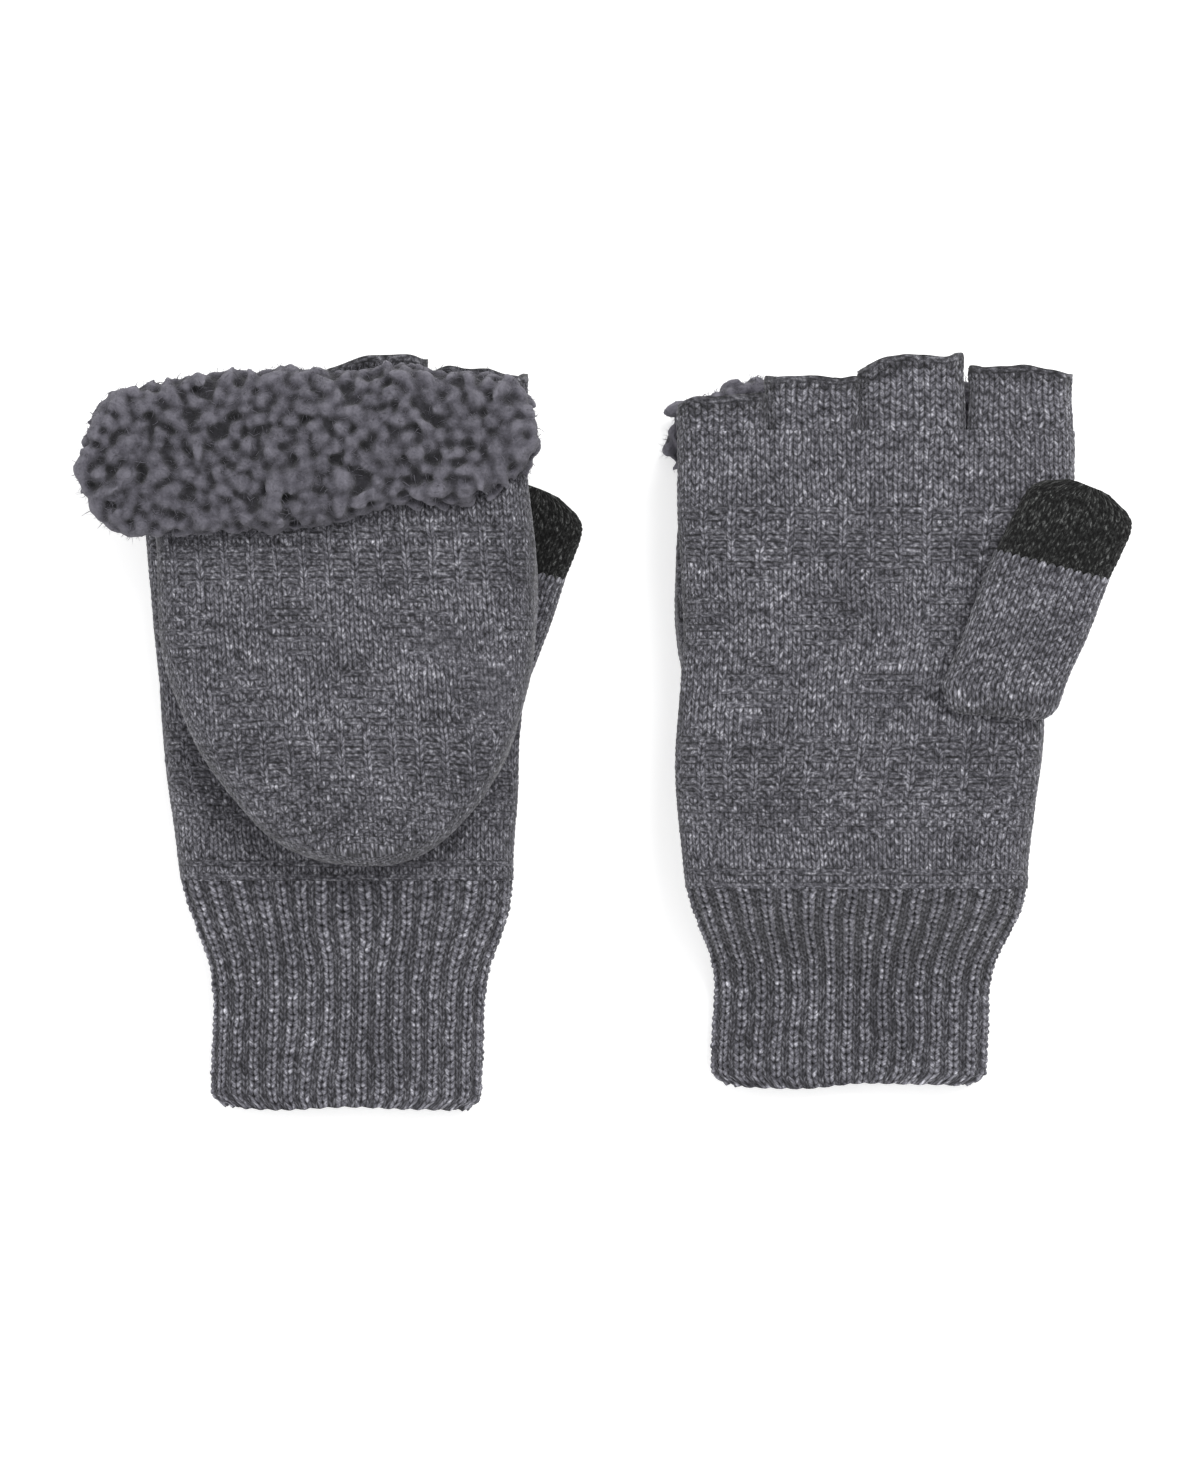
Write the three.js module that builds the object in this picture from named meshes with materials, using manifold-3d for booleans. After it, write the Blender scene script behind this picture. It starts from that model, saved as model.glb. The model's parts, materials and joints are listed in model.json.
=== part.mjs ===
// A pair of convertible flip-top mittens, laid flat on a table: the left one with its back up and its
// fleece-lined cap folded back over it, the right one palm up with its cap folded back underneath.
// Millimetres, +Y towards the fingertips, +Z up. The origin is the middle of the pair, on the table.
import * as THREE from "three";
import { mergeVertices } from "three/addons/utils/BufferGeometryUtils.js";
import Module from "manifold-3d";

// ---------------------------------------------------------------- driving dimensions
// Fabrics
const knit = 1.8; // thickness of the plain knitted fabric
const ribKnit = 2.4; // thickness of the ribbed cuff's fabric
const pile = 4.6; // fleece lining of the cap, pressed flat
const sidePile = 2.4; // the same fleece where it turns up the cap's sides
const clear = 0.3; // gap left between pieces that touch

// Hand: widths across and lengths along, measured from the hinge seam across the knuckles
const knuckleWidth = 116;
const palmWidth = 108;
const wristWidth = 100;
const cuffWidth = 82;
const handLength = 125; // hinge seam to the top of the cuff
const handRoom = 10; // space inside the hand, laid flat
const cuffRoom = 6;
const webHeight = 6.2; // hinge seam to the webs between the fingers

// Finger stubs, from the little finger to the index: width and height above the hinge seam
const fingers = [
  { name: "pinky_stub", width: 26.4, top: 16 },
  { name: "ring_stub", width: 27.4, top: 22 },
  { name: "middle_stub", width: 29, top: 28 },
  { name: "index_stub", width: 30.4, top: 24 },
];
const fingerGap = 0.6;
const bindOff = { height: 3, bulge: 0.3 }; // the bound-off edge stands out a little

// Thumb, a tube that lies on the palm and leans outwards
const thumbWidth = 35;
const thumbLength = 63;
const thumbRoom = 4.6;
const thumbLean = THREE.MathUtils.degToRad(21.6);
const thumbSeamSlope = THREE.MathUtils.degToRad(4.5);
const thumbFold = new THREE.Vector2(36.6, -68.4); // where the thumb folds flat onto the palm
const thumbTipLength = 25; // the touch-screen tip of dark yarn
const thumbHole = { width: 30, height: 4.4 };

// Cap: a knitted pouch with a round end, lined with fleece
const capWidth = 111;
const capLength = 121.5; // hinge seam to the closed end
const capRound = 77; // length of the rounded part
const capRoom = 5; // space inside, laid flat
const capOverlap = 14; // how far the front panel reaches past the hinge seam
const capSideStart = 9; // the sides are open this far from the hinge seam
const capEdge = 7; // rounding of the cap's edges
const seamLength = 96;

// How each mitten lies: its place, how the hand leans, how the cap lies, and its turned-back fleece cuff
const left = {
  side: "left",
  place: new THREE.Vector2(-79, 82),
  lean: 3.2,
  cuffReach: 67, // length of the cuff as it lies
  onThumb: true, // the palm rests on the thumb
  capShift: 1,
  capLean: 8.4,
  capSag: 0,
  fleece: { depth: 9, pinky: 74, thumb: 61, tallPinky: 45, tallThumb: 30, top: 18.5 },
};
const right = {
  side: "right",
  place: new THREE.Vector2(77.7, 80.5),
  lean: -5,
  cuffReach: 58.5, // it slopes down to the table
  onThumb: false,
  capShift: -1.5,
  capLean: 0,
  capSag: 5.3, // past the fleece cuff the front panel hangs down to the table
  fleece: { depth: 5, pinky: 59, thumb: 57.5, tallPinky: 34, tallThumb: 28, top: 22 },
};

// ---------------------------------------------------------------- levels worked out from them
// In a mitten's own frame w is 0 at the back of the hand and grows away from the hand, through the cap.
const handDepth = handRoom + 2 * knit;
const cuffDepth = cuffRoom + 2 * ribKnit;
const thumbDepth = thumbRoom + 2 * knit;
const stack = knit + clear + pile; // one wall of the lined cap
const backShellLow = clear;
const backLiningLow = backShellLow + knit + clear;
const frontLiningLow = backLiningLow + pile + capRoom;
const frontShellLow = frontLiningLow + pile + clear;
const capTop = frontShellLow + knit;
const rimLow = backLiningLow; // where the front panel's sides end, just above the back panel
const hingeLevel = backShellLow + stack / 2;
const seamRadius = stack / 2;
const capStart = seamRadius + clear + 0.1; // the back panel starts this far from the hinge axis

// ---------------------------------------------------------------- small helpers
const { lerp, smoothstep } = THREE.MathUtils;

// Width of the hand at y, halved, easing from one named width to the next.
function halfWidthAt(mitten, y) {
  const stretch = [
    [webHeight, knuckleWidth],
    [-0.64 * handLength, palmWidth],
    [-handLength, wristWidth],
    [-handLength - 0.5 * mitten.cuffReach, cuffWidth],
    [-handLength - mitten.cuffReach, cuffWidth],
  ];
  const above = stretch.findIndex(([height]) => y >= height);
  if (above < 1) return stretch[above < 0 ? 4 : 0][1] / 2;
  const [high, widthHigh] = stretch[above - 1];
  const [low, widthLow] = stretch[above];
  return lerp(widthLow, widthHigh, smoothstep(y, low, high)) / 2;
}

// Middle line of the hand at y: straight over the knuckles, then drifting sideways to the cuff.
function middleAt(mitten, y) {
  return mitten.lean * smoothstep(-y, 0, handLength);
}

// Middle line of the thumb, 0 at the fold and 1 at its end, and the slope of the fabric's rows there.
function thumbLine(share) {
  const along = new THREE.Vector2(Math.sin(thumbLean), Math.cos(thumbLean));
  return along.multiplyScalar(share * thumbLength).add(thumbFold);
}
const thumbSlope = (share) => lerp(thumbSeamSlope, thumbLean, share);

// 1 where the palm lies over the thumb and 0 well away from it.
function overThumb(x, y) {
  const innerEdge = thumbFold.x - thumbWidth / 2 + Math.tan(thumbLean) * (y - thumbFold.y);
  const across = smoothstep(x, innerEdge - 26, innerEdge - 12);
  const rise = smoothstep(y, thumbFold.y - 30, thumbFold.y - 18);
  return across * rise * (1 - smoothstep(y, 0.5, webHeight - 0.2));
}

// Level of the table in the mitten's frame, and how far the fabric at y has dropped towards it: 0 to 1.
function tableLevel(mitten) {
  return mitten.onThumb ? -handDepth : capTop + clear + mitten.fleece.depth;
}
function dropAt(mitten, y) {
  return smoothstep(-y, capLength + 2, handLength + 0.52 * mitten.cuffReach);
}

// Levels of the hand's palm side and back side, which come down to the cuff lying on the table.
function palmLevel(mitten, x, y) {
  const rise = mitten.onThumb ? (thumbDepth + 2 * clear) * overThumb(x, y) : 0;
  const resting = mitten.onThumb ? tableLevel(mitten) : tableLevel(mitten) - cuffDepth;
  return lerp(rise - handDepth, resting, dropAt(mitten, y));
}
function backLevel(mitten, y) {
  const resting = mitten.onThumb ? tableLevel(mitten) + cuffDepth : tableLevel(mitten);
  return lerp(0, resting, dropAt(mitten, y));
}

// One turn round a flattened tube, as x and the share of the depth: along the low side, and back along
// the high side.
function flatRing(halfWidth, edge, across = 6, corner = 2) {
  const radius = Math.min(edge, halfWidth * 0.9);
  const low = [];
  for (let j = 0; j < corner; j++) {
    const turn = (Math.PI / 2) * ((2 * j + 1) / (2 * corner + 1));
    low.push({ x: -halfWidth + radius - radius * Math.cos(turn), share: 0.5 - 0.5 * Math.sin(turn) });
  }
  const middle = [];
  for (let k = 0; k <= across; k++) {
    middle.push({ x: lerp(-halfWidth + radius, halfWidth - radius, k / across), share: 0 });
  }
  const rightSide = low.map((p) => ({ x: -p.x, share: p.share })).reverse();
  const lowSide = [...low, ...middle, ...rightSide];
  return [...lowSide, ...[...lowSide].reverse().map((p) => ({ x: p.x, share: 1 - p.share }))];
}

// Skins a row of rings. A loop joins the last ring to the first, as a tube's wall does. A chain is closed
// by flat ends, which join each point of a ring's first half to the one facing it in the second half.
function skin(rings, loop) {
  const faces = [];
  const quad = (a, b, c, d) => faces.push(a, b, c, a, c, d);
  const last = rings.length - 1;
  const pairs = rings.slice(0, last).map((ring, i) => [ring, rings[i + 1]]);
  if (loop) pairs.push([rings[last], rings[0]]);
  for (const [from, to] of pairs) {
    from.forEach((p, i) => {
      const j = (i + 1) % from.length;
      quad(p, to[i], to[j], from[j]);
    });
  }
  if (!loop) {
    const count = rings[0].length;
    for (let i = 0; i < count / 2 - 1; i++) {
      const opposite = count - 1 - i;
      const first = rings[0];
      const end = rings[last];
      quad(first[i], first[i + 1], first[opposite - 1], first[opposite]);
      quad(end[i], end[opposite], end[opposite - 1], end[i + 1]);
    }
  }
  let volume = 0;
  for (let i = 0; i < faces.length; i += 3) {
    volume += faces[i].dot(faces[i + 1].clone().cross(faces[i + 2]));
  }
  if (volume < 0) faces.reverse();
  const geometry = new THREE.BufferGeometry().setFromPoints(faces);
  geometry.computeVertexNormals();
  return geometry;
}

// A wall from its outer and inner rings, which run the same way: open at both ends.
const tubeWall = (outer, inner) => skin([...outer, ...[...inner].reverse()], true);
// The same, with the far end closed.
const cupWall = (outer, inner) => skin([...[...inner].reverse(), ...outer], false);

const wasm = await Module();
wasm.setup();

function solidOf(geometry) {
  const bare = geometry.clone();
  bare.deleteAttribute("normal");
  bare.deleteAttribute("uv");
  const merged = mergeVertices(bare, 1e-3);
  const vertProperties = merged.attributes.position.array;
  const triVerts = new Uint32Array(merged.index.array);
  return new wasm.Manifold(new wasm.Mesh({ numProp: 3, vertProperties, triVerts }));
}
function cut(geometry, tool) {
  const { vertProperties, triVerts } = solidOf(geometry).subtract(solidOf(tool)).getMesh();
  const made = new THREE.BufferGeometry();
  made.setAttribute("position", new THREE.BufferAttribute(vertProperties, 3));
  made.setIndex(new THREE.BufferAttribute(triVerts, 1));
  made.computeVertexNormals();
  return made;
}

// ---------------------------------------------------------------- materials
const heatherKnit = new THREE.MeshStandardMaterial({ color: 0x5f5f66, roughness: 0.95, metalness: 0 });
const touchYarn = new THREE.MeshStandardMaterial({ color: 0x2b2c2c, roughness: 0.9, metalness: 0 });
const fleece = new THREE.MeshStandardMaterial({ color: 0x5c5a61, roughness: 1, metalness: 0 });
const seamYarn = new THREE.MeshStandardMaterial({ color: 0x515157, roughness: 0.95, metalness: 0 });

// ---------------------------------------------------------------- cuff, hand and finger stubs
// A flattened tube between two heights, following the hand's outline and levels.
function handTube(mitten, heights, wall) {
  const ringAt = (y, inset) => {
    const edge = (backLevel(mitten, y) - palmLevel(mitten, -knuckleWidth, y)) / 2;
    return flatRing(halfWidthAt(mitten, y) - inset, edge - inset, 8).map(({ x, share }) => {
      const low = palmLevel(mitten, x, y) + inset;
      const high = backLevel(mitten, y) - inset;
      return new THREE.Vector3(middleAt(mitten, y) + x, y, lerp(low, high, share));
    });
  };
  return tubeWall(heights.map((y) => ringAt(y, 0)), heights.map((y) => ringAt(y, wall)));
}

function cuff(mitten) {
  const shares = [1, 0.76, 0.52, 0.38, 0.25, 0.12, clear / mitten.cuffReach];
  const heights = shares.map((share) => -handLength - share * mitten.cuffReach);
  return handTube(mitten, heights, ribKnit);
}

function hand(mitten) {
  const fold = thumbFold.y;
  const heights = [-handLength, -capLength, fold - 36, fold - 30, fold - 18, fold - 10, fold];
  heights.push(fold * 0.75, fold / 2, fold / 4, -6, 0, webHeight);
  const hole = new THREE.BoxGeometry(thumbHole.width, thumbHole.height, 2 * knit + clear);
  hole.rotateZ(-thumbSeamSlope).translate(
    thumbFold.x - Math.sin(thumbSeamSlope) * (clear + thumbDepth / 2),
    thumbFold.y - Math.cos(thumbSeamSlope) * (clear + thumbDepth / 2),
    thumbLevel(mitten),
  );
  return cut(handTube(mitten, heights, knit), hole);
}

function fingerStub(finger, pinkySide) {
  const middle = pinkySide + finger.width / 2;
  const base = webHeight + clear;
  const rim = finger.top - bindOff.height;
  const ringAt = (y, inset) =>
    flatRing(finger.width / 2 - inset, handDepth / 2 - inset, 3).map(
      ({ x, share }) => new THREE.Vector3(middle + x, y, lerp(inset - handDepth, -inset, share)),
    );
  const levels = [base, rim, rim + 1, finger.top];
  const outer = levels.map((y) => ringAt(y, y > rim ? 0 : bindOff.bulge));
  const inner = levels.map((y) => ringAt(y, bindOff.bulge + knit));
  return tubeWall(outer, inner);
}

// ---------------------------------------------------------------- thumb
// Level of the palm's outside where the thumb folds onto it.
const thumbLevel = (mitten) => -handDepth + (mitten.onThumb ? thumbDepth + 2 * clear : 0);

// A point of the thumb: x across the fabric, `ahead` of the fold line and `away` from the palm.
function thumbPoint(mitten, centre, slope, x, ahead, away) {
  const across = new THREE.Vector2(Math.cos(slope), -Math.sin(slope));
  const forward = new THREE.Vector2(Math.sin(slope), Math.cos(slope));
  const at = across.multiplyScalar(x).add(forward.multiplyScalar(ahead)).add(centre);
  return new THREE.Vector3(at.x, at.y, thumbLevel(mitten) - clear - away);
}

// The gusset turns a quarter turn, from its slot in the palm to lying along the palm.
function thumbGusset(mitten) {
  const rings = (inset) =>
    [0, 22.5, 45, 67.5, 90].map((degrees) => {
      const turn = THREE.MathUtils.degToRad(degrees);
      return flatRing(thumbWidth / 2 - inset, thumbDepth / 2 - inset, 4).map(({ x, share }) => {
        const radius = clear + lerp(inset, thumbDepth - inset, share);
        const [ahead, away] = [-radius * Math.cos(turn), radius * Math.sin(turn)];
        return thumbPoint(mitten, thumbFold, thumbSeamSlope, x, ahead, away);
      });
    });
  return tubeWall(rings(0), rings(knit));
}

// A ring of the thumb at a share of its length, drawn in at the sides by `narrowing`.
function thumbRing(mitten, share, narrowing, inset) {
  const slope = thumbSlope(share);
  const halfWidth = (thumbWidth / 2 - inset) / Math.cos(thumbLean - slope) - narrowing;
  const flatter = Math.min(narrowing * 0.28, thumbDepth / 2 - inset - 0.4);
  return flatRing(halfWidth, thumbDepth / 2 - inset, 4).map((p) => {
    const away = clear + lerp(inset + flatter, thumbDepth - inset - flatter, p.share);
    return thumbPoint(mitten, thumbLine(share), slope, p.x, 0, away);
  });
}
const tipStart = 1 - thumbTipLength / thumbLength;

function thumb(mitten) {
  const shares = [clear / thumbLength, 0.2, 0.4, tipStart - clear / thumbLength];
  const rings = (inset) => shares.map((share) => thumbRing(mitten, share, 0, inset));
  return tubeWall(rings(0), rings(knit));
}

function thumbTip(mitten) {
  // Share of the thumb's length and how much each side has rounded in by then.
  const outer = [[tipStart, 0], [0.82, 0], [0.91, 0.8], [0.96, 3], [0.99, 6.2], [1, 10]];
  const inner = [[tipStart, 0], [0.82, 0], [0.9, 1.2], [0.937, 4], [0.954, 7], [0.966, 9]];
  return cupWall(
    outer.map(([share, narrowing]) => thumbRing(mitten, share, narrowing, 0)),
    inner.map(([share, narrowing]) => thumbRing(mitten, share, narrowing, knit)),
  );
}

// ---------------------------------------------------------------- flip-top cap
// Half the cap's width at y, which is straight and then an ellipse to the closed end.
function capHalfWidth(y) {
  const share = Math.max(0, -y - (capLength - capRound)) / capRound;
  return (capWidth / 2) * Math.sqrt(Math.max(0, 1 - share * share));
}
const capMiddle = (mitten, y) => mitten.capShift + (mitten.capLean * Math.max(0, -y)) / capLength;

// Heights of the rounded end, down to where a piece set in by `inset` is closed.
function roundedHeights(inset) {
  const start = capLength - capRound;
  const turns = [15, 30, 43, 55, 66, 75, 82].map(THREE.MathUtils.degToRad);
  return turns.map((turn) => -start - (capRound - inset) * Math.sin(turn));
}
const insetHalfWidth = (y, inset) => capHalfWidth(y * (capLength / (capLength - inset))) - inset;

// A flat panel of the back of the cap.
function backPanel(mitten, low, thickness, inset) {
  const heights = [-capStart, -capSideStart - 12, -(capLength - capRound), ...roundedHeights(inset)];
  const rings = heights.map((y) =>
    flatRing(insetHalfWidth(y, inset), thickness / 2, 5, 1).map(
      ({ x, share }) => new THREE.Vector3(capMiddle(mitten, y) + x, y, low + share * thickness),
    ),
  );
  return skin(rings, false);
}

// One section of the front panel: over the outside from side to side, and back along the inside.
function traySection(halfWidth, rim, inner, outer, side, edge) {
  const path = (width, top, radius) => {
    const r = Math.max(0.2, Math.min(radius, top - rim - 0.1, width * 0.8));
    const points = [[-width, rim]];
    for (const turn of [0, Math.PI / 6, Math.PI / 3]) {
      points.push([-width + r - r * Math.cos(turn), top - r + r * Math.sin(turn)]);
    }
    for (let k = 0; k <= 5; k++) {
      const x = lerp(-width + r, width - r, k / 5);
      points.push([x, top]);
    }
    const back = points.slice(0, 4).map(([x, w]) => [-x, w]);
    return [...points, ...back.reverse()];
  };
  return [...path(halfWidth, outer, edge), ...path(halfWidth - side, inner, edge - side).reverse()];
}

// How far the front panel has sagged at y.
const sagAt = (mitten, y) => mitten.capSag * smoothstep(-y, capSideStart + 9, capLength / 2);

// The front panel with its turned-down sides and end; a flap with no sides at the mouth.
function frontPanel(mitten, low, thickness, inset, side, mouth) {
  const flapRim = low - 0.4;
  const stations = [
    { y: mouth, rim: flapRim },
    { y: -capSideStart + 4, rim: flapRim },
    { y: -capSideStart - 1, rim: rimLow },
    { y: -capSideStart - 12, rim: rimLow },
    { y: -capSideStart - 22, rim: rimLow },
    { y: -(capLength - capRound), rim: rimLow },
    ...roundedHeights(inset).map((y) => ({ y, rim: rimLow })),
  ];
  const closing = stations.length - 1; // the last section is solid and closes the end
  const rings = stations.map(({ y, rim }, i) => {
    const level = low + sagAt(mitten, y);
    const inner = i === closing ? rim + 0.4 : level;
    const half = insetHalfWidth(y, inset);
    return traySection(half, rim, inner, level + thickness, side, capEdge).map(
      ([x, w]) => new THREE.Vector3(capMiddle(mitten, y) + x, y, w),
    );
  });
  return skin(rings, false);
}

// The fleece edge of the cap's mouth, turned back over the outside: a thick band with rounded ends. Where
// it crosses the cap it has a nose that goes down over the shell's edge to the lining.
function fleeceCuff(mitten) {
  const { depth, pinky, thumb: thumbSide, tallPinky, tallThumb, top } = mitten.fleece;
  const low = capTop + clear;
  const high = low + depth;
  const noseHalf = capWidth / 2 + clear;
  const stations = [0, 0.1, 0.3, 0.6, 1].map((share) => lerp(-pinky, -noseHalf - clear, share));
  for (let i = 0; i <= 6; i++) stations.push(lerp(-noseHalf, noseHalf, i / 6));
  stations.push(...[1, 0.6, 0.3, 0.1, 0].map((share) => lerp(thumbSide, noseHalf + clear, share)));
  const rings = stations.map((x) => {
    const share = (x + pinky) / (thumbSide + pinky);
    const round = Math.sqrt(Math.max(0.03, 1 - Math.abs(2 * share - 1) ** 6));
    const half = (lerp(tallPinky, tallThumb, share) / 2) * round;
    const middle = top - lerp(tallPinky, tallThumb, share) / 2;
    const tail = middle - half;
    const nosed = Math.abs(x) <= noseHalf;
    const nose = nosed ? capOverlap + clear : middle + half - 1.2;
    const tip = Math.max(nose + 1.2, middle + half);
    const foot = nosed ? frontLiningLow + 2 : low + 0.4;
    const bulge = Math.min(3, depth / 2, half / 2);
    const outside = [
      [tail, low + 0.8],
      [tail + 0.25 * bulge, high - bulge],
      [tail + bulge, high - 0.2],
      [lerp(tail, nose, 0.5), high],
      [nose - 0.6 * bulge, high],
      [tip, high - bulge],
      [tip, foot],
    ];
    const inside = [
      [tail + 0.3, low],
      [tail + 0.5 * bulge, low],
      [tail + bulge, low],
      [lerp(tail, nose, 0.5), low],
      [nose - 0.6, low],
      [nose, low - (nosed ? 0.1 : 0)],
      [nose, nosed ? foot : low + 0.1],
    ];
    const outline = [...outside, ...inside.reverse()];
    return outline.map(([y, w]) => new THREE.Vector3(mitten.capShift + x, y, w));
  });
  return skin(rings, false);
}

// The seam that joins the cap to the back of the hand: a rolled bead on the hinge axis.
function hingeSeam() {
  return new THREE.CylinderGeometry(seamRadius, seamRadius, seamLength, 12)
    .rotateZ(Math.PI / 2)
    .rotateX(Math.PI / 12)
    .translate(0, 0, hingeLevel);
}

// ---------------------------------------------------------------- assembly
function makeMitten(mitten) {
  const group = new THREE.Group();
  const add = (name, geometry, material) => {
    const mesh = new THREE.Mesh(geometry, material);
    mesh.name = `${mitten.side}_${name}`;
    group.add(mesh);
  };
  add("cuff", cuff(mitten), heatherKnit);
  add("hand", hand(mitten), heatherKnit);
  const span = fingers.reduce((sum, f) => sum + f.width + fingerGap, -fingerGap);
  let edge = -span / 2;
  for (const finger of fingers) {
    add(finger.name, fingerStub(finger, edge), heatherKnit);
    edge += finger.width + fingerGap;
  }
  add("thumb_gusset", thumbGusset(mitten), heatherKnit);
  add("thumb", thumb(mitten), heatherKnit);
  add("thumb_tip", thumbTip(mitten), touchYarn);
  add("hinge_seam", hingeSeam(), seamYarn);
  const liningInset = knit + clear;
  const backInset = liningInset + sidePile + clear;
  add("cap_back_shell", backPanel(mitten, backShellLow, knit, 0), heatherKnit);
  add("cap_back_lining", backPanel(mitten, backLiningLow, pile, backInset), fleece);
  add("cap_front_shell", frontPanel(mitten, frontShellLow, knit, 0, knit, capOverlap), heatherKnit);
  const frontLining = frontPanel(mitten, frontLiningLow, pile, liningInset, sidePile, capOverlap);
  add("cap_front_lining", frontLining, fleece);
  add("fleece_cuff", fleeceCuff(mitten), fleece);
  group.position.set(mitten.place.x, mitten.place.y, 0);
  if (mitten.onThumb) {
    group.position.z = -tableLevel(mitten);
  } else {
    group.scale.z = -1; // the right mitten is the left one's mirror image, turned over
    group.position.z = tableLevel(mitten);
  }
  return group;
}

const pair = new THREE.Group();
pair.add(makeMitten(left), makeMitten(right));
const bounds = new THREE.Box3().setFromObject(pair, true);
const centre = bounds.getCenter(new THREE.Vector3());
pair.position.set(-centre.x, -centre.y, -bounds.min.z);

const mittens = new THREE.Group();
mittens.add(pair);
export default mittens;
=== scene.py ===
# A pair of convertible flip-top mittens in heather grey knit, laid flat on a pale table.
import json
import math

import bpy
import numpy as np
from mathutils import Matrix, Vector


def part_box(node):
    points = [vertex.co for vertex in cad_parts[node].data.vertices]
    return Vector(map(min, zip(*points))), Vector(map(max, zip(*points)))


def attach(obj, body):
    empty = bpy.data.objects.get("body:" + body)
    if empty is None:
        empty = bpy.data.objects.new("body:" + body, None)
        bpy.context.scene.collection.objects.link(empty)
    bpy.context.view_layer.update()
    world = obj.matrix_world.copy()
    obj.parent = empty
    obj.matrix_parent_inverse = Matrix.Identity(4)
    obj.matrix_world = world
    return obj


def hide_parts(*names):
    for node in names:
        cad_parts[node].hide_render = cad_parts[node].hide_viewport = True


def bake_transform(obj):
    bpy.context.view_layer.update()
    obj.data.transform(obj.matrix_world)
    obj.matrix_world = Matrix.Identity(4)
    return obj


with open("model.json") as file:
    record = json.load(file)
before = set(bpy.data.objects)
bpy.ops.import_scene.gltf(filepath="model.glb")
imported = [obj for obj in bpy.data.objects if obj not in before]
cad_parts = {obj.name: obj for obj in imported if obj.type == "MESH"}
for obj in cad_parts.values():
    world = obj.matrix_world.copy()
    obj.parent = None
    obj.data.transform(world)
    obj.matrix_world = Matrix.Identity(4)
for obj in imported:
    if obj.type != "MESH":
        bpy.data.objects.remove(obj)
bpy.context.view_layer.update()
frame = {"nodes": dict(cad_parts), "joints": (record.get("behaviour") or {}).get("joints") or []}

MM = 0.001
bpy.ops.object.select_all(action="DESELECT")

# ------------------------------------------------------------------ camera, table and light
# Seen from straight above with a long lens, on a white table under a big soft light from the upper right.
VIEW_HEIGHT = 425 * MM  # length of table that fills the frame from top to bottom
LENS = 100.0
SENSOR = 36.0
LEVEL = 25 * MM  # height above the table at which that length is right
CENTRE_X = -0.7 * MM
TABLE_SIZE = 6.0
TABLE_DROP = 0.5 * MM  # of the table's top below the mittens, so that no faces coincide

bpy.ops.object.camera_add(location=(CENTRE_X, 0, LEVEL + VIEW_HEIGHT * LENS / SENSOR))
camera = bpy.context.object
camera.rotation_euler = (0, 0, 0)
camera.data.lens = LENS
camera.data.sensor_width = SENSOR
bpy.context.scene.camera = camera

bpy.ops.mesh.primitive_plane_add(size=TABLE_SIZE, location=(0, 0, -TABLE_DROP))
table = bpy.context.object
table.name = "table"


def area_light(name, place, size, watts, tilt):
    """A round soft light; `tilt` is about x and y, in degrees."""
    rotation = (math.radians(tilt[0]), math.radians(tilt[1]), 0)
    bpy.ops.object.light_add(type="AREA", location=place, rotation=rotation)
    light = bpy.context.object
    light.name = name
    light.data.shape = "DISK"
    light.data.size = size
    light.data.energy = watts


area_light("key", (0.55, 0.75, 1.25), size=0.8, watts=16, tilt=(-31, 23))
area_light("fill", (-0.9, -0.2, 1.3), size=1.2, watts=6, tilt=(8, -34))
SKY = 0.78  # strength of the white surroundings
world = bpy.data.worlds.new("studio")
world.use_nodes = True
world.node_tree.nodes["Background"].inputs["Color"].default_value = (1, 1, 1, 1)
world.node_tree.nodes["Background"].inputs["Strength"].default_value = SKY
bpy.context.scene.world = world
bpy.context.scene.view_settings.view_transform = "Standard"


# ------------------------------------------------------------------ yarn and fleece finishes
# Shader maths: a socket wrapped so that Python expressions add the nodes.
class Socket:
    def __init__(self, nodes, out):
        self.nodes = nodes
        self.out = out

    def maths(self, operation, *others):
        return self.nodes.add("ShaderNodeMath", [self, *others], operation=operation)

    def __add__(self, other):
        return self.maths("ADD", other)

    def __mul__(self, other):
        return self.maths("MULTIPLY", other)

    def __sub__(self, other):
        return self.maths("SUBTRACT", other)

    def __rsub__(self, other):
        return self.maths("MULTIPLY_ADD", -1, other)

    def __gt__(self, other):
        return self.maths("GREATER_THAN", other)

    def fraction(self):
        return self.maths("FRACT")

    def size(self):
        return self.maths("ABSOLUTE")

    def clamp(self):
        return self.nodes.add("ShaderNodeClamp", [self])

    __radd__ = __add__
    __rmul__ = __mul__


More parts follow.
